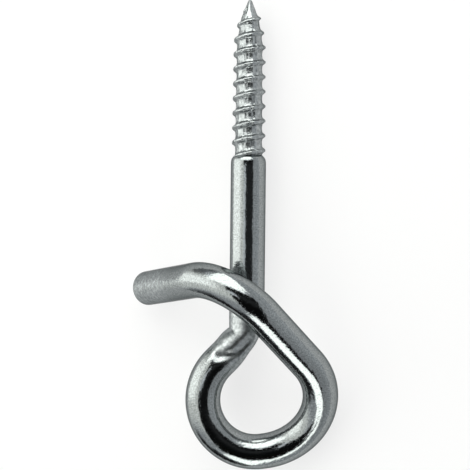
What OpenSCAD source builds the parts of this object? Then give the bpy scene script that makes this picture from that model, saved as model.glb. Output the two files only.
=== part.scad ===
// Pigtail screw hook: one round steel bar with a coarse wood thread and gimlet point at one end.
// The other end is bent into an eye whose tail passes in front of the shank and turns back past it.
// The hook lies as it comes to rest, on its tail, its loop and its thread.

/* [Bar] */
// Diameter of the round bar
bar_d = 12; // [8:0.5:14]
// Loss of diameter where the bar is bent
bend_thinning = 0.06; // [0.04:0.01:0.2]
// Chamfer round the cut end of the tail
tail_chamfer = 0.8; // [0.2:0.1:1.5]
// Facets of a full circle round the bar
facets = 96; // [48:8:128]

/* [Shank] */
// Length of the plain shank, from its neck bend to its shoulder
shank_l = 57.5; // [40:0.5:80]
// Chamfer of the shoulder, where the plain shank meets the thread
shoulder_chamfer = 0.7; // [0.3:0.1:1.5]

/* [Wood thread] */
// Length of the threaded end, from the shoulder to the tip
thread_l = 54; // [40:1:80]
// How much thinner the thread is than the bar, over its ridges next to the shoulder
thread_relief = 0.5; // [0.2:0.1:1.5]
// Height of the ridge over the core
thread_depth = 1.1; // [0.6:0.1:1.5]
// Distance from one ridge to the next along the shank
pitch = 5; // [4:0.1:6]
// Distance from the shoulder to the first whole ridge, on the right side
first_ridge = 2.7; // [1.5:0.1:5]
// Width of the ridge at its foot
ridge_foot = 2.8; // [1.6:0.1:3.4]
// Width of the ridge at its crest
ridge_crest = 0.8; // [0.3:0.1:1.2]
// Loss of diameter along the whole ridges
thread_taper = 0.6; // [0:0.1:1]
// Length of the gimlet point
point_l = 14.5; // [10:0.5:20]
// Length of its steep last part
nose_l = 6.5; // [4:0.5:8]
// Diameter of the core where that part starts, as a share of the whole core's
nose_share = 0.65; // [0.5:0.05:0.8]
// Diameter of the blunt tip
tip_d = 1.2; // [0.6:0.1:2]
// Facets of a full turn of the thread
thread_facets = 36; // [24:4:48]

/* [Neck] */
// Inside radius of the sharp bend under the shank
neck_inside_r = 0.5; // [0.5:0.5:10]
// Angle of that bend in degrees, towards the left
neck_angle = 45; // [30:1:55]
// Straight stretch from the neck to the loop
neck_run = 10.7; // [4:0.1:14]

/* [Loop] */
// Inside radius of the flat left half of the eye
loop_inside_r = 11.7; // [9:0.1:16]
// Angle in degrees through which that half is bent
loop_angle = 143; // [130:1:150]
// Straight stretch between the two halves
loop_run = 1; // [1:0.5:5]
// Tilt in degrees of the bending plane of the right half, which lifts it off the first
rise_tilt = 25; // [20:1:35]
// Inside radius of the right half
rise_inside_r = 15; // [12:0.5:20]
// Angle in degrees through which that half is bent
rise_angle = 122; // [115:1:130]

/* [Tail] */
// Straight stretch that climbs from the loop to the crossing in front of the shank
climb_run = 23; // [18:0.5:28]
// Tilt in degrees of the bending plane of the tail, which turns it back down past the shank
tail_tilt = 47; // [40:1:56]
// Inside radius of the tail's bend over the shank
tail_inside_r = 13; // [11:0.5:18]
// Angle of that bend in degrees
tail_angle = 92; // [80:1:100]
// Straight end of the tail
tail_run = 32; // [18:0.5:38]

/* [Hidden] */
$fn = facets;
steel = [0.58, 0.6, 0.59];
bar_r = bar_d / 2;
// Radii of the bends on the bar's centre line
neck_r = bar_r + neck_inside_r;
loop_r = bar_r + loop_inside_r;
rise_r = bar_r + rise_inside_r;
tail_r = bar_r + tail_inside_r;
// How far a bend's ends sit inside the straight stretches beside it
bend_seat = 0.4;

// A pose on the bar is [place, direction of travel, direction in which it bends next]
function straight_on(p, run) = [p[0] + run * p[1], p[1], p[2]];
function bend_on(p, r, turn) = [
    p[0] + r * (sin(turn) * p[1] + (1 - cos(turn)) * p[2]),
    cos(turn) * p[1] + sin(turn) * p[2],
    cos(turn) * p[2] - sin(turn) * p[1]
];
function roll_on(p, tilt) = [p[0], p[1], cos(tilt) * p[2] + sin(tilt) * cross(p[1], p[2])];

// The shank starts at the origin, points its tip along +Y, and the bar is bent from there
shank_start = [[0, 0, 0], [0, -1, 0], [-1, 0, 0]];
neck_end = bend_on(shank_start, neck_r, neck_angle);
loop_start = roll_on(straight_on(neck_end, neck_run), 180);
loop_end = bend_on(loop_start, loop_r, loop_angle);
rise_start = roll_on(straight_on(loop_end, loop_run), rise_tilt);
climb_start = bend_on(rise_start, rise_r, rise_angle);
tail_start = roll_on(straight_on(climb_start, climb_run), -tail_tilt);
tail_straight = bend_on(tail_start, tail_r, tail_angle);
tail_tip = straight_on(tail_straight, tail_run);

// Draws its children with +Z along the bar and +X to the side where it bends
module at_pose(p) {
    side = cross(p[1], p[2]);
    multmatrix([for (i = [0:2]) [p[2][i], side[i], p[1][i], p[0][i]]]) children();
}

module straight_bar(run) {
    cylinder(d = bar_d, h = run);
}

// A bend is a hair thinner than the straight stretches, and its ends sit inside them
module bent_bar(r, turn) {
    seat = bend_seat / r * 180 / PI;
    translate([r, 0, 0])
        rotate([90, 0, 180])
            rotate([0, 0, -seat])
                rotate_extrude(angle = turn + 2 * seat)
                    translate([r, 0])
                        circle(d = bar_d - bend_thinning);
}

module chamfered_bar(run, chamfer) {
    straight_bar(run - chamfer);
    translate([0, 0, run - chamfer])
        cylinder(r1 = bar_r, r2 = bar_r - chamfer, h = chamfer);
}

module shank() {
    rotate([-90, 0, 0]) chamfered_bar(shank_l, shoulder_chamfer);
}

module neck() {
    at_pose(shank_start) bent_bar(neck_r, neck_angle);
    at_pose(neck_end) straight_bar(neck_run);
}

module loop() {
    at_pose(loop_start) bent_bar(loop_r, loop_angle);
    at_pose(loop_end) straight_bar(loop_run);
    at_pose(rise_start) bent_bar(rise_r, rise_angle);
}

module tail() {
    at_pose(climb_start) straight_bar(climb_run);
    at_pose(tail_start) bent_bar(tail_r, tail_angle);
    at_pose(tail_straight) chamfered_bar(tail_run, tail_chamfer);
}

// The thread is one strip, a pitch wide, wound from inside the shank to the tip.
// Across the strip run the land, the ridge's two feet and its crest.
thread_body_l = thread_l - point_l;
core_r = bar_r - thread_relief / 2 - thread_depth;
tip_round = 0.4;
// The ridge starts this many degrees before the first whole one, and grows over the second angle
start_turn = 220;
growth_turn = 100;
ridge_start = first_ridge - pitch * start_turn / 360;
strip_start = ridge_start - pitch / 2;
// The ring that closes the thread inside the shank sits this far before the strip
ring_lead = 0.3;
strip_steps = floor((thread_l - tip_round - strip_start - pitch) / pitch * thread_facets) - 1;
// On the point the ridge is whole to the first place, low at the second and gone at the third.
// The places are distances from the tip, as multiples of the nose's length.
whole_share = 1.8;
fading_share = 0.9;
bare_share = 0.4;
low_share = 0.7;
// A low ridge keeps at least this share of its width
least_share = 0.3;

function core_at(s) = lookup(s, [
    [0, core_r],
    [thread_body_l, core_r - thread_taper / 2],
    [thread_l - nose_l, nose_share * core_r],
    [thread_l - tip_round, tip_d / 2]
]);

// The ridge grows out of the shoulder and runs out on the point
function ridge_at(s) = lookup(s, [
    [ridge_start, 0],
    [ridge_start + pitch * growth_turn / 360, 1],
    [thread_l - whole_share * nose_l, 1],
    [thread_l - fading_share * nose_l, low_share],
    [thread_l - bare_share * nose_l, 0]
]);

function on_thread(turn, s, height) =
    let (r = core_at(s) + height)
    [r * cos(turn), r * sin(turn), s];

// The five places across the strip: [distance along the shank, share of the ridge's height]
function strip_profile(s, share) =
    let (width = max(share, least_share), foot = ridge_foot / 2 * width, crest = ridge_crest / 2 * width)
    [[s - pitch / 2, 0], [s - foot, 0], [s - crest, share], [s + crest, share], [s + foot, 0]];

function strip_column(i) =
    let (turn = i * 360 / thread_facets - start_turn, s = ridge_start + pitch * i / thread_facets)
    [for (q = strip_profile(s, ridge_at(s))) on_thread(turn, q[0], q[1] * thread_depth)];

function thread_ring(s, turn_0) =
    [for (j = [0:thread_facets - 1]) on_thread(turn_0 + j * 360 / thread_facets, s, 0)];

module thread() {
    n = thread_facets;
    width = len(strip_profile(0, 1));
    last = strip_steps;
    strip = [for (i = [0:last]) each strip_column(i)];
    far_edge = [for (i = [last + 1:last + n]) strip_column(i)[0]];
    low = len(strip) + n;
    high = low + n;
    tip = high + n;
    end_turn = last * 360 / n - start_turn;
    points = concat(
        strip,
        far_edge,
        thread_ring(strip_start - ring_lead, -start_turn),
        thread_ring(thread_l - tip_round, end_turn),
        [[0, 0, thread_l]]
    );
    // Place k across the strip at step i, where the far edge is the next turn's near edge
    function at(i, k) = k < width ? i * width + k
        : i + n <= last ? (i + n) * width
        : len(strip) + i + n - last - 1;
    faces = concat(
        [for (i = [0:last - 1], k = [0:width - 1]) [at(i, k), at(i, k + 1), at(i + 1, k + 1)]],
        [for (i = [0:last - 1], k = [0:width - 1]) [at(i, k), at(i + 1, k + 1), at(i + 1, k)]],
        // From the ring inside the shank to the strip's first edge
        [for (j = [0:n - 2]) [low + j, at(j, 0), at(j + 1, 0)]],
        [for (j = [0:n - 2]) [low + j, at(j + 1, 0), low + j + 1]],
        [for (k = [0:width - 1]) [at(n - 1, 0), at(0, k + 1), at(0, k)]],
        [[low + n - 1, at(n - 1, 0), at(0, 0)], [low + n - 1, at(0, 0), low]],
        [[for (j = [0:n - 1]) low + j]],
        // From the strip's last edge to the ring round the tip
        [for (j = [1:n - 1]) [at(last - n + j, width), high + j, high + (j + 1) % n]],
        [for (j = [1:n - 1])
            [at(last - n + j, width), high + (j + 1) % n, at(last - n + j + 1, width)]],
        [for (k = [0:width - 1]) [at(last - n + 1, width), at(last, k), at(last, k + 1)]],
        [[at(last - n + 1, width), at(last, width), high], [at(last - n + 1, width), high, high + 1]],
        [for (j = [0:n - 1]) [high + j, tip, high + (j + 1) % n]]
    );
    translate([0, shank_l, 0])
        rotate([-90, 0, 0])
            polyhedron(points, faces, convexity = 20);
}

// The floor touches the hook at three places: the tail's cut end, the loop and the thread.
// Each place is the lowest of its stretch, and the floor's tilt settles in a few steps.
function unit(v) = v / norm(v);
function low_place(p, r, up) = p[0] - r * unit(up - (up * p[1]) * p[1]);
function lowest(places, up) =
    let (heights = [for (q = places) q * up])
    places[search(min(heights), heights)[0]];

function tail_low(up) = lowest([
    low_place(tail_tip, bar_r - tail_chamfer, up),
    low_place(straight_on(tail_tip, -tail_chamfer), bar_r, up)
], up);

function loop_low(up, places = 50) = lowest([
    for (i = [0:places])
        let (turn = rise_angle * i / places)
        low_place(bend_on(rise_start, rise_r, turn), bar_r - bend_thinning / 2, up)
], up);

function thread_low(up, places = 100) = lowest([
    low_place([[0, shank_l - shoulder_chamfer, 0], [0, 1, 0]], bar_r, up),
    for (i = [0:places])
        let (s = thread_l * i / places, r = core_at(s) + ridge_at(s) * thread_depth)
        low_place([[0, shank_l + s, 0], [0, 1, 0]], r, up)
], up);

function settled(up, steps = 8) =
    let (a = tail_low(up), b = loop_low(up), c = thread_low(up))
    steps <= 0 ? up : settled(unit(cross(b - a, c - a)), steps - 1);

floor_up = settled([0, 0, 1]);
floor_front = unit([0, 1, 0] - floor_up[1] * floor_up);
floor_side = cross(floor_front, floor_up);

// Turns the hook about its origin until the floor is level and the shank points to +Y
module lying() {
    multmatrix([for (row = [floor_side, floor_front, floor_up]) [each row, 0]]) children();
}

module screw_hook() {
    color(steel)
        lying() {
            shank();
            thread();
            neck();
            loop();
            tail();
        }
}

screw_hook();
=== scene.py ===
"""Pigtail screw hook of bright zinc-plated steel, lying on a pale floor, seen almost from above."""
import math
from collections import namedtuple

import bpy
import numpy as np
from mathutils import Matrix, Vector


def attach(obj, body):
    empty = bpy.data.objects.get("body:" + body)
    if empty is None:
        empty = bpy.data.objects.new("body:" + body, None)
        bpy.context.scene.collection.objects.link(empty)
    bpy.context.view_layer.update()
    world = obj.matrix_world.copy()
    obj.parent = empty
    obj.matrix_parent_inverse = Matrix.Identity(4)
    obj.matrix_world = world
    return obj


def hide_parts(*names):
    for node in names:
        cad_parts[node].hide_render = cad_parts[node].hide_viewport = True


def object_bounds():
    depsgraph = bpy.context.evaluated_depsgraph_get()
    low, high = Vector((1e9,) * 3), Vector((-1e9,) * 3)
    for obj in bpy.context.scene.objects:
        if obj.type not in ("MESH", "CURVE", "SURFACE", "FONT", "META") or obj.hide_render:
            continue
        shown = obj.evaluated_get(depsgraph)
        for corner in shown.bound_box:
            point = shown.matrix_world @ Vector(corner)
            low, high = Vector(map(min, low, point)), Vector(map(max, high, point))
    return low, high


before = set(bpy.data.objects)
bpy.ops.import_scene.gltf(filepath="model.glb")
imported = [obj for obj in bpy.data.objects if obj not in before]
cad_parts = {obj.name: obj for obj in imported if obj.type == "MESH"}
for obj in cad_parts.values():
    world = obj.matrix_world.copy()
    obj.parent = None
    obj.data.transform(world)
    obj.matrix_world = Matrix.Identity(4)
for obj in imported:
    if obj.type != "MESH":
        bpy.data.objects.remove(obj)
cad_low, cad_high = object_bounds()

MM = 0.001

# Sizes of the bar in millimetres and degrees, as in the CAD source. A bend is (radius, degrees).
BAR_R = 6.0
SHANK_L = 57.5
NECK = (6.5, 45.0)
NECK_RUN = 10.7
LOOP = (17.7, 143.0)
LOOP_RUN = 1.0
RISE_TILT = 25.0
RISE = (21.0, 122.0)
CLIMB_RUN = 23.0
TAIL_TILT = -47.0
TAIL = (19.0, 92.0)
TAIL_RUN = 32.0
TAIL_CHAMFER = 0.8

# The shoulder's rounded edge: (distance past the end of the shank, radius)
SHOULDER = (
    (1.2, 0.5), (1.2, 4.5), (0.9, 4.8), (0.5, 5.15), (0.2, 5.42),
    (-0.05, 5.6), (-0.3, 5.73), (-0.7, 5.86), (-1.2, 5.95), (-1.8, 6.0),
)
# The tail's rounded chamfer: (place along it, drop in radius), as shares of the chamfer
TAIL_EDGE = ((-0.4, 0.02), (0.0, 0.12), (0.35, 0.4), (0.7, 0.74), (1.0, 1.15))
# Radii of the rings on the tail's cut face
CUT_FACE = (4.5, 0.6)
# From the neck on, the bar is this much thinner in radius than the shank, to stay inside the solid's box
THINNING = 0.045
THINNING_RUN = 4.0

# Spacing of the rings: millimetres along a straight stretch, degrees round a bend
RUN_STEP = 1.0
SHANK_STEP = 1.5
LOOP_RUN_STEP = 0.5
BEND_STEP = 1.5
NECK_BEND_STEP = 2.5
# The stretches on both sides of the neck bend have finer rings, on the shank for the first 8 mm
FINE_STEP = 0.4
FINE_SHANK = 8.0

# The worked neck. Places run along the bar from the start of the neck bend, and turns are degrees
# round it from its front line, more to the inside of the bend.
WORKED = (-8.0, 22.0)
SOFTENING_ROUNDS = 6
# The outside of the bend is pinched
PINCH_DEPTH = 1.35
PINCH_AT = 3.4
PINCH_SPREAD = 5.2
PINCH_SHARPNESS = 1.6
# The inside swells
SWELL_HEIGHT = 0.4
SWELL_AT = 7.6
SWELL_SPREAD = 2.6
SWELL_TURN = 85
SWELL_TURN_SPREAD = 42
# A face is pressed flat. It winds to the inside as it goes, and its outer side fades out over a soft
# edge, which widens.
FLAT_DEPTH = 1.1
FLAT_STARTS = (-1.0, 5.0)
FLAT_ENDS = (11.5, 18.0)
FLAT_TURN = -28
FLAT_REACH = 60
WINDING = 40
WINDS = (8.5, 14.5)
EDGE_STARTS = -4
EDGE_ENDS = 10
EDGE_WIDENING = 16
EDGE_WIDENS = (9, 14)

# Sizes of the wood thread in millimetres and degrees, as in the CAD source, apart from the ridge's
# height, which is 0.01 less so that it stays inside the solid's box
THREAD_L = 54.0
CORE_R = 4.65
RIDGE_H = 1.09
PITCH = 5.0
FIRST_RIDGE = 2.7
FOOT = 2.8
CREST = 0.8
TAPER = 0.3
POINT_L = 14.5
NOSE_L = 6.5
NOSE_SHARE = 0.65
TIP_R = 0.6
TIP_ROUND = 0.4
START_TURN = 220.0
GROWTH_TURN = 100.0
RIDGE_START = FIRST_RIDGE - PITCH * START_TURN / 360

# How the ridge fades on the point: (nose lengths before the tip, share of the ridge's height)
RIDGE_FADE = ((1.8, 1), (0.9, 0.7), (0.4, 0))
# The land between two ridges is a little hollow, by this share of the ridge's height
LAND_HOLLOW = -0.09
# Half of the ridge's profile, from the middle of the land to the crest. The land's rows are (share of
# half the pitch, share of half the foot, share of the hollow), the others (share of half the foot or
# half the crest, share of the ridge's height).
LAND_ROWS = ((1.0, 0.0, 1.0), (0.6, 0.45, 0.8), (0.25, 0.85, 0.4), (0.0, 1.12, 0.0))
FOOT_ROWS = ((0.9, 0.04), (0.74, 0.17))
CREST_ROWS = ((1.35, 0.7), (1.0, 0.92), (0.5, 0.99))
# A low ridge is narrower, down to this share of the full width
NARROWEST = 0.3

# Points round the bar and round one turn of the thread
SIDES = 96
THREAD_SIDES = 96
# Edges sharper than this many degrees aren't smoothed
SHARP_ANGLE = 40

# The floor's upward direction in the bar's own frame, where the shank points to +Y
FLOOR_UP = np.array([-0.271557, -0.0287885, 0.961992])
FLOOR_UP /= np.linalg.norm(FLOOR_UP)
FLOOR_FRONT = np.array([0.0, 1.0, 0.0]) - FLOOR_UP[1] * FLOOR_UP
FLOOR_FRONT /= np.linalg.norm(FLOOR_FRONT)
FLOOR_SIDE = np.cross(FLOOR_FRONT, FLOOR_UP)
LYING = np.array([FLOOR_SIDE, FLOOR_FRONT, FLOOR_UP])


def ramp(x, low, high):
    """0 below low, 1 above high, smooth between them."""
    t = min(1.0, max(0.0, (x - low) / (high - low)))
    return t * t * (3 - 2 * t)


def window(x, low, high, soft_low, soft_high):
    """1 from low to high, falling to 0 over the soft widths outside them."""
    return ramp(x, low - soft_low, low) * (1 - ramp(x, high, high + soft_high))


def bell(x, width):
    """1 at 0, falling to 0 on both sides."""
    return math.exp(-((x / width) ** 2))


def lookup(x, table):
    """The second value of a table's rows, at x between their first values."""
    return float(np.interp(x, [row[0] for row in table], [row[1] for row in table]))


def turned(vector, axis, degrees):
    """A vector turned about an axis of length 1."""
    a = math.radians(degrees)
    along_axis = axis * (axis @ vector)
    return vector * math.cos(a) + np.cross(axis, vector) * math.sin(a) + along_axis * (1 - math.cos(a))


Ring = namedtuple("Ring", "centre direction side radius along")


class Bar:
    """Rings along a bar that is bent as it goes."""

    def __init__(self):
        self.point = np.zeros(3)
        self.direction = np.array([0.0, -1.0, 0.0])
        # The way to the centre of the next bend
        self.inward = np.array([-1.0, 0.0, 0.0])
        # The way from the centre to the first point of a ring
        self.side = self.inward
        self.along = 0.0
        self.rings = []

    def ring(self, radius=BAR_R):
        """Add a ring where the bar has come to."""
        thinned = radius - THINNING * ramp(self.along, -THINNING_RUN, 0)
        self.rings.append(Ring(self.point, self.direction, self.side, thinned, self.along))

    def straight(self, run, step=RUN_STEP):
        """Go straight on, with rings about a step apart."""
        n = max(1, round(run / step))
        for _ in range(n):
            self.point = self.point + self.direction * run / n
            self.along += run / n
            self.ring()

    def bend(self, radius, degrees, step=BEND_STEP):
        """Go round a bend, with rings about a step apart."""
        axis = np.cross(self.direction, self.inward)
        n = max(2, round(degrees / step))
        turn = degrees / n
        for _ in range(n):
            centre = self.point + radius * self.inward
            self.point = centre + turned(self.point - centre, axis, turn)
            self.direction = turned(self.direction, axis, turn)
            self.inward = turned(self.inward, axis, turn)
            self.side = turned(self.side, axis, turn)
            self.along += math.radians(turn) * radius
            self.ring()

    def roll(self, degrees):
        """Turn the next bend's plane about the bar."""
        self.inward = turned(self.inward, self.direction, degrees)


def bar_rings():
    """The rings from the shoulder along the shank and round the eye to the tail's cut face."""
    bar = Bar()
    for ahead, radius in SHOULDER:
        bar.point = np.array([0.0, SHANK_L + ahead, 0.0])
        bar.along = -bar.point[1]
        bar.ring(radius)
    bar.straight(SHANK_L + SHOULDER[-1][0] - FINE_SHANK, SHANK_STEP)
    bar.straight(FINE_SHANK, FINE_STEP)
    bar.bend(*NECK, NECK_BEND_STEP)
    bar.straight(NECK_RUN, FINE_STEP)
    bar.roll(180.0)
    bar.bend(*LOOP)
    bar.straight(LOOP_RUN, LOOP_RUN_STEP)
    bar.roll(RISE_TILT)
    bar.bend(*RISE)
    bar.straight(CLIMB_RUN)
    bar.roll(TAIL_TILT)
    bar.bend(*TAIL)
    # The last ring on the straight tail stands one chamfer short of the chamfer's start
    bar.straight(TAIL_RUN - 2 * TAIL_CHAMFER)
    start = bar.point + bar.direction * TAIL_CHAMFER
    start_along = bar.along + TAIL_CHAMFER
    for share, drop in TAIL_EDGE:
        bar.point = start + bar.direction * TAIL_CHAMFER * share
        bar.along = start_along + TAIL_CHAMFER * share
        bar.ring(BAR_R - TAIL_CHAMFER * drop)
    for radius in CUT_FACE:
        bar.ring(radius)
    return bar.rings


def neck_dent(angle, along):
    """How far a point of the neck is pressed in. Where it swells, the value is negative."""
    turn = (math.degrees(angle) + 270) % 360 - 180
    outside = max(0.0, -math.cos(angle))
    pinch = PINCH_DEPTH * bell(along - PINCH_AT, PINCH_SPREAD) * outside ** PINCH_SHARPNESS
    swell = SWELL_HEIGHT * bell(along - SWELL_AT, SWELL_SPREAD) * bell(turn - SWELL_TURN, SWELL_TURN_SPREAD)
    facing = FLAT_TURN + WINDING * ramp(along, *WINDS)
    depth = FLAT_DEPTH * ramp(along, *FLAT_STARTS) * (1 - ramp(along, *FLAT_ENDS))
    flat = 0.0
    if abs(turn - facing) < FLAT_REACH:
        flat = max(0.0, BAR_R - (BAR_R - depth) / math.cos(math.radians(turn - facing)))
    edge_ends = EDGE_ENDS + EDGE_WIDENING * ramp(along, *EDGE_WIDENS)
    flat *= 1 - ramp(facing - turn, EDGE_STARTS, edge_ends)
    return pinch - swell + flat


def neck_dents(rings):
    """The dents of all the rings, with their edges softened."""
    dents = np.zeros((len(rings), SIDES))
    for i, ring in enumerate(rings):
        if WORKED[0] < ring.along < WORKED[1]:
            dents[i] = [neck_dent(2 * math.pi * k / SIDES, ring.along) for k in range(SIDES)]
    for _ in range(SOFTENING_ROUNDS):
        dents = (np.roll(dents, 1, 1) + 2 * dents + np.roll(dents, -1, 1)) / 4
        dents[1:-1] = (dents[:-2] + 2 * dents[1:-1] + dents[2:]) / 4
    return dents


# Where the plating is duller, with its grey lightened as a painted sheen: a window along the worked neck,
# and the straight tail, where this starts and is full at these distances before the cut
DULL_AND_PAINTED_SHEEN_NECK = (-5, 12, 7, 5)
DULL_AND_PAINTED_SHEEN_TAIL = (27, 14)
# How dull it is, and how far its grey is lightened as a painted sheen, as a share. The tail's share keeps
# its roughness below 0.27, because the denoiser draws a seam round a smooth bar where its roughness passes
# that.
TAIL_DULL_AND_PAINTED_SHEEN = 0.72
THREAD_DULL_AND_PAINTED_SHEEN = 0.65


def dullness_and_painted_sheen(along, tail_end):
    """Share by which the bar's plating is duller, with its grey lightened as a painted sheen."""
    starts, full = DULL_AND_PAINTED_SHEEN_TAIL
    return max(window(along, *DULL_AND_PAINTED_SHEEN_NECK), TAIL_DULL_AND_PAINTED_SHEEN * ramp(along, tail_end - starts, tail_end - full))


def add_bar(verts, faces, dull_and_painted_sheen):
    """Join the bar's rings by faces, and close the shoulder's end and the tail's."""
    rings = bar_rings()
    first = len(verts)
    for ring, dents in zip(rings, neck_dents(rings)):
        other = np.cross(ring.direction, ring.side)
        for k, dent in enumerate(dents):
            a = 2 * math.pi * k / SIDES
            outward = math.cos(a) * ring.side + math.sin(a) * other
            verts.append(ring.centre + (ring.radius - dent) * outward)
            dull_and_painted_sheen.append(dullness_and_painted_sheen(ring.along, rings[-1].along))
    last = first + (len(rings) - 1) * SIDES
    for a in range(first, last, SIDES):
        b = a + SIDES
        for k in range(SIDES):
            n = (k + 1) % SIDES
            faces.append((a + k, a + n, b + n, b + k))
    faces.append(tuple(first + k for k in reversed(range(SIDES))))
    faces.append(tuple(last + k for k in range(SIDES)))


def core_at(s):
    """The core's radius at a distance from the shoulder."""
    return lookup(s, (
        (0, CORE_R),
        (THREAD_L - POINT_L, CORE_R - TAPER),
        (THREAD_L - NOSE_L, NOSE_SHARE * CORE_R),
        (THREAD_L - TIP_ROUND, TIP_R),
    ))


def ridge_at(s):
    """Share of the ridge's height, which grows out of the shoulder and fades on the point."""
    table = [(RIDGE_START, 0), (RIDGE_START + PITCH * GROWTH_TURN / 360, 1)]
    table += [(THREAD_L - noses * NOSE_L, share) for noses, share in RIDGE_FADE]
    return lookup(s, table)


def strip_profile(share):
    """(distance along the axis, share of the ridge's height) across one pitch, crest in the middle."""
    wide = max(share, NARROWEST)
    foot, crest = FOOT / 2 * wide, CREST / 2 * wide
    half = [(-x * PITCH / 2 - feet * foot, depth * LAND_HOLLOW) for x, feet, depth in LAND_ROWS]
    half += [(-x * foot, height) for x, height in FOOT_ROWS]
    half += [(-x * crest, height) for x, height in CREST_ROWS]
    return half + [(0.0, 1.0)] + [(-x, height) for x, height in reversed(half[1:])]


def add_thread(verts, faces):
    """A strip one pitch wide that winds from the shoulder to the tip. Each turn joins the next."""
    n = THREAD_SIDES
    width = len(strip_profile(1.0))
    first = len(verts)
    start, end = RIDGE_START - PITCH / 2, THREAD_L - TIP_ROUND
    steps = math.floor((end - start - PITCH) / PITCH * n) - 1

    def point(i, s, height):
        turn = math.radians(i * 360 / n - START_TURN)
        r = core_at(s) + height * RIDGE_H
        return np.array([r * math.cos(turn), SHANK_L + s, -r * math.sin(turn)])

    def column(i):
        s = RIDGE_START + PITCH * i / n
        share = ridge_at(s)
        return [point(i, s + x, height * share) for x, height in strip_profile(share)]

    for i in range(steps + 1):
        verts.extend(column(i))
    # One more turn of the strip's near edge alone, for its last turn to join
    far = len(verts)
    for i in range(steps + 1, steps + n + 1):
        verts.append(column(i)[0])

    def at(i, k):
        if k < width:
            return first + i * width + k
        if i + n <= steps:
            return first + (i + n) * width
        return far + i + n - steps - 1

    for i in range(steps):
        for k in range(width):
            faces.append((at(i, k), at(i, k + 1), at(i + 1, k + 1), at(i + 1, k)))
    # The last turn closes on a ring round the blunt tip
    ring = len(verts)
    for j in range(n):
        verts.append(point(steps + j, end, 0.0))
    for j in range(n - 1):
        i = steps - n + 1 + j
        faces.append((at(i, width), ring + (j + 1) % n, ring + (j + 2) % n, at(i + 1, width)))
    tip = len(verts)
    verts.append(np.array([0.0, SHANK_L + THREAD_L, 0.0]))
    for j in range(n):
        faces.append((ring + j, tip, ring + (j + 1) % n))


def placed(name, data):
    """A new object in the scene."""
    made = bpy.data.objects.new(name, data)
    bpy.context.scene.collection.objects.link(made)
    return made


def hook_object():
    """The hook as one mesh, in the attitude in which it lies."""
    verts, faces, dull_and_painted_sheen = [], [], []
    add_bar(verts, faces, dull_and_painted_sheen)
    bar_faces = len(faces)
    add_thread(verts, faces)
    dull_and_painted_sheen += [THREAD_DULL_AND_PAINTED_SHEEN] * (len(verts) - len(dull_and_painted_sheen))
    points = (np.array(verts) @ LYING.T) * MM
    mesh = bpy.data.meshes.new("hook_steel")
    mesh.from_pydata(points.tolist(), [], faces)
    # The share of duller plating, which also lightens the grey as a painted sheen
    mesh.attributes.new("dull_and_painted_sheen", "FLOAT", "POINT").data.foreach_set("value", dull_and_painted_sheen)
    mesh.materials.append(zinc("zinc_bar", roughness=0.092, mottle=0.2,
                               flats=0.000015, waves=0.00007, grains=0.00003, pits=0.000008))
    mesh.materials.append(zinc("zinc_thread", roughness=0.17, mottle=0.15,
                               flats=0.00055, waves=0.0002, grains=0.00012, pits=0.00003))
    for i, poly in enumerate(mesh.polygons):
        poly.material_index = 0 if i < bar_faces else 1
    mesh.shade_smooth()
    mesh.set_sharp_from_angle(angle=math.radians(SHARP_ANGLE))
    mesh.validate()
    return placed("hook_steel", mesh)


# The plating's grain varies between two greys where it is bright, and between two lighter ones where it is
# duller, lighter partly as a painted sheen
ZINC_DARK = (0.197, 0.211, 0.213, 1)
ZINC_LIGHT = (0.35, 0.372, 0.375, 1)
DULL_ZINC_PAINTED_SHEEN_DARK = (0.26, 0.277, 0.282, 1)
DULL_ZINC_PAINTED_SHEEN_LIGHT = (0.474, 0.501, 0.508, 1)
DULL_ROUGHNESS = 0.33
# Tint of its reflections at a glancing angle
EDGE_TINT = (0.32, 0.33, 0.33, 1)
# Scales of its noises, per metre. The flats are drawn out along the shank by the stretch.
SPECK_SCALE = 2600.0
FINE_SCALE = 1000.0
BROAD_SCALE = 260.0
FLATS_SCALE = 700.0
FLATS_STRETCH = (1.0, 0.12, 1.0)
# Most of a noise lies in this range, and the pits are where it is in the second one or above
NOISE_RANGE = (0.3, 0.7)
PIT_RANGE = (0.6, 0.72)
# A Mix node's places: its two inputs and its output
MIX_PLACES = {"RGBA": (6, 7, 2), "FLOAT": (2, 3, 0)}


def shader(name):
    """A new material with its node tree and its shader."""
    material = bpy.data.materials.new(name)
    material.use_nodes = True
    tree = material.node_tree
    return material, tree, tree.nodes["Principled BSDF"]


def put(tree, value, place):
    """Link an output to an input, or set the input to a plain value."""
    if isinstance(value, bpy.types.NodeSocket):
        tree.links.new(value, place)
    else:
        place.default_value = value


def node(tree, kind, **values):
    """A new node, with its settings and its inputs given by name."""
    made = tree.nodes.new(kind)
    for key, value in values.items():
        if hasattr(made, key):
            setattr(made, key, value)
        else:
            put(tree, value, made.inputs[key.replace("_", " ")])
    return made


def noise(tree, where, scale, detail=1.0, roughness=0.5):
    """The value of a noise texture."""
    made = node(tree, "ShaderNodeTexNoise", Vector=where, Scale=scale, Detail=detail, Roughness=roughness)
    return made.outputs["Fac"]


def ranged(tree, value, low, high, limits=NOISE_RANGE):
    """A noise's value between the limits, spread from low to high."""
    made = node(tree, "ShaderNodeMapRange", Value=value,
                From_Min=limits[0], From_Max=limits[1], To_Min=low, To_Max=high)
    return made.outputs["Result"]


def mixed(tree, kind, share, first, second):
    """A mix of two colours or two numbers."""
    made = node(tree, "ShaderNodeMix", data_type=kind, Factor=share)
    first_place, second_place, result = MIX_PLACES[kind]
    put(tree, first, made.inputs[first_place])
    put(tree, second, made.inputs[second_place])
    return made.outputs[result]


def combined(tree, operation, first, second):
    """The result of a Math node."""
    made = node(tree, "ShaderNodeMath", operation=operation)
    put(tree, first, made.inputs[0])
    put(tree, second, made.inputs[1])
    return made.outputs[0]


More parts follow.
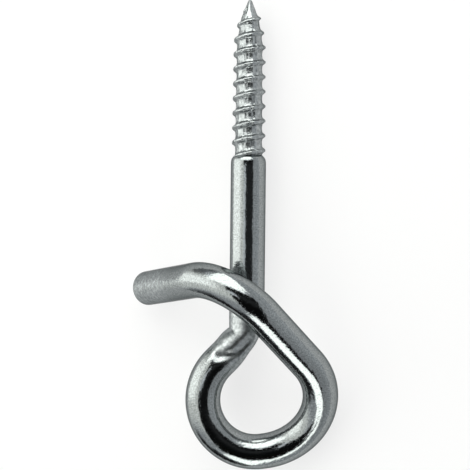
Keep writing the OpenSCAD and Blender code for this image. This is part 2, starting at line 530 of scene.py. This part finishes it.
def zinc(name, roughness, mottle, flats, waves, grains, pits):
    """Bright zinc plating: a metal with fine grain, mottled roughness and duller places, whose grey is
    lighter, partly as a painted sheen.

    The last four values are the heights of its bumps, in metres.
    """
    material, tree, metal = shader(name)
    metal.inputs["Metallic"].default_value = 1.0
    metal.inputs["Specular Tint"].default_value = EDGE_TINT
    where = node(tree, "ShaderNodeTexCoord").outputs["Object"]
    drawn = node(tree, "ShaderNodeMapping", Vector=where, Scale=FLATS_STRETCH).outputs["Vector"]
    speck = noise(tree, where, SPECK_SCALE, roughness=0.6)
    fine = noise(tree, where, FINE_SCALE)
    broad = noise(tree, where, BROAD_SCALE, detail=2.0)
    rolled = noise(tree, drawn, FLATS_SCALE)
    dull_and_painted_sheen = node(tree, "ShaderNodeAttribute", attribute_name="dull_and_painted_sheen").outputs["Fac"]
    # Colour: light and dark grain, coarser where the plating is duller, and lighter there, partly as a
    # painted sheen
    bright_grey = mixed(tree, "RGBA", ranged(tree, speck, 0.0, 1.0), ZINC_DARK, ZINC_LIGHT)
    dull_painted_sheen_grey = mixed(tree, "RGBA", ranged(tree, fine, 0.0, 1.0), DULL_ZINC_PAINTED_SHEEN_DARK, DULL_ZINC_PAINTED_SHEEN_LIGHT)
    put(tree, mixed(tree, "RGBA", dull_and_painted_sheen, bright_grey, dull_painted_sheen_grey), metal.inputs["Base Color"])
    # Roughness: mottled, and higher where the bar was worked or rubbed
    mottled = ranged(tree, broad, roughness * (1 - mottle), roughness * (1 + 2 * mottle))
    put(tree, mixed(tree, "FLOAT", dull_and_painted_sheen, mottled, DULL_ROUGHNESS), metal.inputs["Roughness"])
    # Bumps: narrow flats along the shank, as rolling leaves them, then broad waves, grains and pits
    pitted = ranged(tree, speck, 0.0, 1.0, PIT_RANGE)
    normal = None
    for distance, height in ((flats, rolled), (waves, broad), (grains, fine), (pits, pitted)):
        bump = node(tree, "ShaderNodeBump", Strength=1.0, Distance=distance, Height=height)
        if normal:
            put(tree, normal, bump.inputs["Normal"])
        normal = bump.outputs["Normal"]
    put(tree, normal, metal.inputs["Normal"])
    return material


# Camera at the photograph's viewing angle, looking straight along the bar frame's -Z. All is in
# millimetres, apart from the clip distances, which are in metres.
CAMERA_AT = np.array([-4.31, 31.30, 440.0])
CAMERA_RIGHT = np.array([0.99994, 0.01065, 0.0])
CAMERA_UP = np.array([-0.01065, 0.99994, 0.0])
LENS = 99.0
SENSOR = 36.0
CLIP = (0.01, 20.0)


def photo_axes():
    """The photograph's right, up and towards-the-viewer directions in the CAD frame."""
    return [Vector(LYING @ v) for v in (CAMERA_RIGHT, CAMERA_UP, np.cross(CAMERA_RIGHT, CAMERA_UP))]


def add_camera():
    data = bpy.data.cameras.new("camera")
    data.lens = LENS
    data.sensor_width = SENSOR
    data.clip_start, data.clip_end = CLIP
    camera = placed("camera", data)
    place = Matrix(photo_axes()).transposed().to_4x4()
    place.translation = Vector(LYING @ CAMERA_AT) * MM
    camera.matrix_world = place
    bpy.context.scene.camera = camera


# The light tent, in metres. Azimuth is to the photograph's right and elevation up, from the camera,
# in degrees.
TENT_R = 1.2
TENT_STEP = 1
TENT_CENTRE = (0.0, 0.03, 0.0)
WALL = 0.685
WALL_TINT = (0.965, 1.0, 1.03)
LIGHT_TINT = (0.99, 1.0, 0.955)
# Panels, each over the ones before: (strength, whether it has the lights' tint, its places). A place
# is a window of azimuth and one of elevation: (from, to, soft width before, soft width after).
BACK_PANELS = (
    # The wall on the right is darker below
    (0.545, False, [((38, 150, 10, 10), (-90, -28, 1, 22))]),
    # A big softbox on the left, brightest at its far half
    (1.5, True, [((-116, -32, 9, 5), (-18, 34, 24, 24))]),
    (2.8, False, [((-112, -66, 8, 28), (0, 18, 14, 16))]),
    # Dark corners below and above it
    (0.03, False, [((-140, -100, 8, 24), (-90, -46, 1, 20))]),
    (0.03, False, [((-160, -66, 8, 10), (-90, -58, 1, 7))]),
    (0.3, False, [((-140, -94, 10, 24), (44, 74, 12, 10))]),
    # A softbox overhead, which reaches further right at the top
    (3.8, True, [((-56, 12, 14, 3), (33, 90, 11, 1)), ((-56, 26, 14, 5), (42, 90, 8, 1))]),
)
# The dark slit in front, through which the camera looks, is a little lighter at the lens's height
SLIT = ((-29, 30, 4, 4), (-53, 22, 3, 5))
SLIT_LEVEL = 0.008
LENS_GLOW = 0.04
LENS_ELEVATION = 2
LENS_SPREAD = 9
FRONT_PANELS = (
    # A lighter notch at the slit's left
    (1.45, False, [((-40, -18, 5, 4), (-3, 4, 3, 4))]),
    # A reflector in front of the eye, with two humps
    (3.7, True, [((-44, 15, 8, 3), (-90, -57, 1, 3)),
                 ((-28, -10, 6, 6), (-90, -52, 1, 6)),
                 ((3, 20, 4, 3), (-90, -54, 1, 3))]),
)
# Low down on the right the tent is lighter: by how much, over which azimuths this starts, and up to
# which height above the tent's middle, as a share of its radius
LOW_LIGHT = 0.11
LOW_LIGHT_STARTS = (27, 50)
LOW_LIGHT_TOP = 0.35


def covered(level, tint, panels, az, el):
    """The tent's strength and tint in one direction, after panels are laid over it."""
    for strength, tinted, places in panels:
        share = max(window(az, *across) * window(el, *upward) for across, upward in places)
        level += (strength - level) * share
        if tinted:
            tint = max(tint, share)
    return level, tint


def tent_level(az, el):
    """(strength, share of the lights' tint) of the tent in one direction."""
    level, tint = covered(WALL, 0.0, BACK_PANELS, az, el)
    dark = SLIT_LEVEL + LENS_GLOW * bell(el - LENS_ELEVATION, LENS_SPREAD)
    level += (dark - level) * window(az, *SLIT[0]) * window(el, *SLIT[1])
    return covered(level, tint, FRONT_PANELS, az, el)


def tent_light():
    """A material that shines as the light attribute says."""
    material = bpy.data.materials.new("tent_light")
    material.use_nodes = True
    tree = material.node_tree
    tree.nodes.clear()
    light = node(tree, "ShaderNodeAttribute", attribute_name="light")
    emission = node(tree, "ShaderNodeEmission", Color=light.outputs["Color"], Strength=1.0)
    node(tree, "ShaderNodeOutputMaterial", Surface=emission.outputs["Emission"])
    return material


def add_tent():
    """A sphere round the scene, unseen by the camera, that lights it and shows in the metal."""
    right, up, back = photo_axes()
    centre = Vector(TENT_CENTRE)
    verts, faces, colours = [], [], []
    columns, rows = 360 // TENT_STEP, 180 // TENT_STEP + 1
    for i in range(columns):
        az = -180 + i * TENT_STEP
        a = math.radians(az)
        for j in range(rows):
            el = -90 + j * TENT_STEP
            e = math.radians(el)
            way = right * (math.sin(a) * math.cos(e)) + up * math.sin(e) + back * (math.cos(a) * math.cos(e))
            verts.append(centre + TENT_R * way)
            level, tint = tent_level(az, el)
            level += LOW_LIGHT * ramp(az, *LOW_LIGHT_STARTS) * (1 - ramp(way.z, 0.0, LOW_LIGHT_TOP))
            colours += [level * (wall + (light - wall) * tint) for wall, light in zip(WALL_TINT, LIGHT_TINT)]
            colours.append(1.0)
    for i in range(columns):
        a, b = i * rows, (i + 1) % columns * rows
        for j in range(rows - 1):
            faces.append((a + j, a + j + 1, b + j + 1, b + j))
    mesh = bpy.data.meshes.new("light_tent")
    mesh.from_pydata(verts, [], faces)
    mesh.color_attributes.new("light", "FLOAT_COLOR", "POINT").data.foreach_set("color", colours)
    mesh.materials.append(tent_light())
    tent = placed("light_tent", mesh)
    tent.visible_camera = False


# A round board just under the hook, wider than the picture, in metres. Its own colour is a middle grey,
# and the glow makes it white.
FLOOR_R = 0.17
FLOOR_AT = 0.03
FLOOR_SIDES = 180
FLOOR_GAP = 0.00001
FLOOR_COLOUR = 0.22
FLOOR_GLOW = 0.735


def floor_white():
    """A matt grey that glows white to the camera, also in metal and through glass, but lights nothing."""
    material, tree, surface = shader("floor_white")
    surface.inputs["Base Color"].default_value = (FLOOR_COLOUR, FLOOR_COLOUR, FLOOR_COLOUR, 1)
    surface.inputs["Roughness"].default_value = 1.0
    surface.inputs["Specular IOR Level"].default_value = 0.0
    surface.inputs["Emission Color"].default_value = (1, 1, 1, 1)
    rays = node(tree, "ShaderNodeLightPath").outputs
    seen = rays["Is Camera Ray"]
    for kind in ("Is Glossy Ray", "Is Transmission Ray"):
        seen = combined(tree, "MAXIMUM", seen, rays[kind])
    put(tree, combined(tree, "MULTIPLY", seen, FLOOR_GLOW), surface.inputs["Emission Strength"])
    return material


def add_floor(z):
    angles = [2 * math.pi * k / FLOOR_SIDES for k in range(FLOOR_SIDES)]
    rim = [(FLOOR_R * math.cos(a), FLOOR_AT + FLOOR_R * math.sin(a), z) for a in angles]
    mesh = bpy.data.meshes.new("floor")
    mesh.from_pydata(rim, [], [tuple(range(FLOOR_SIDES))])
    mesh.materials.append(floor_white())
    floor = placed("floor", mesh)


def add_world():
    world = bpy.data.worlds.new("white")
    world.use_nodes = True
    world.node_tree.nodes["Background"].inputs["Color"].default_value = (1, 1, 1, 1)
    world.node_tree.nodes["Background"].inputs["Strength"].default_value = 1.0
    bpy.context.scene.world = world


hook = hook_object()
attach(hook, "root")
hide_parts("screw_hook")

add_floor(cad_low.z - FLOOR_GAP)
add_tent()
add_world()
add_camera()
bpy.context.scene.view_settings.view_transform = "Standard"
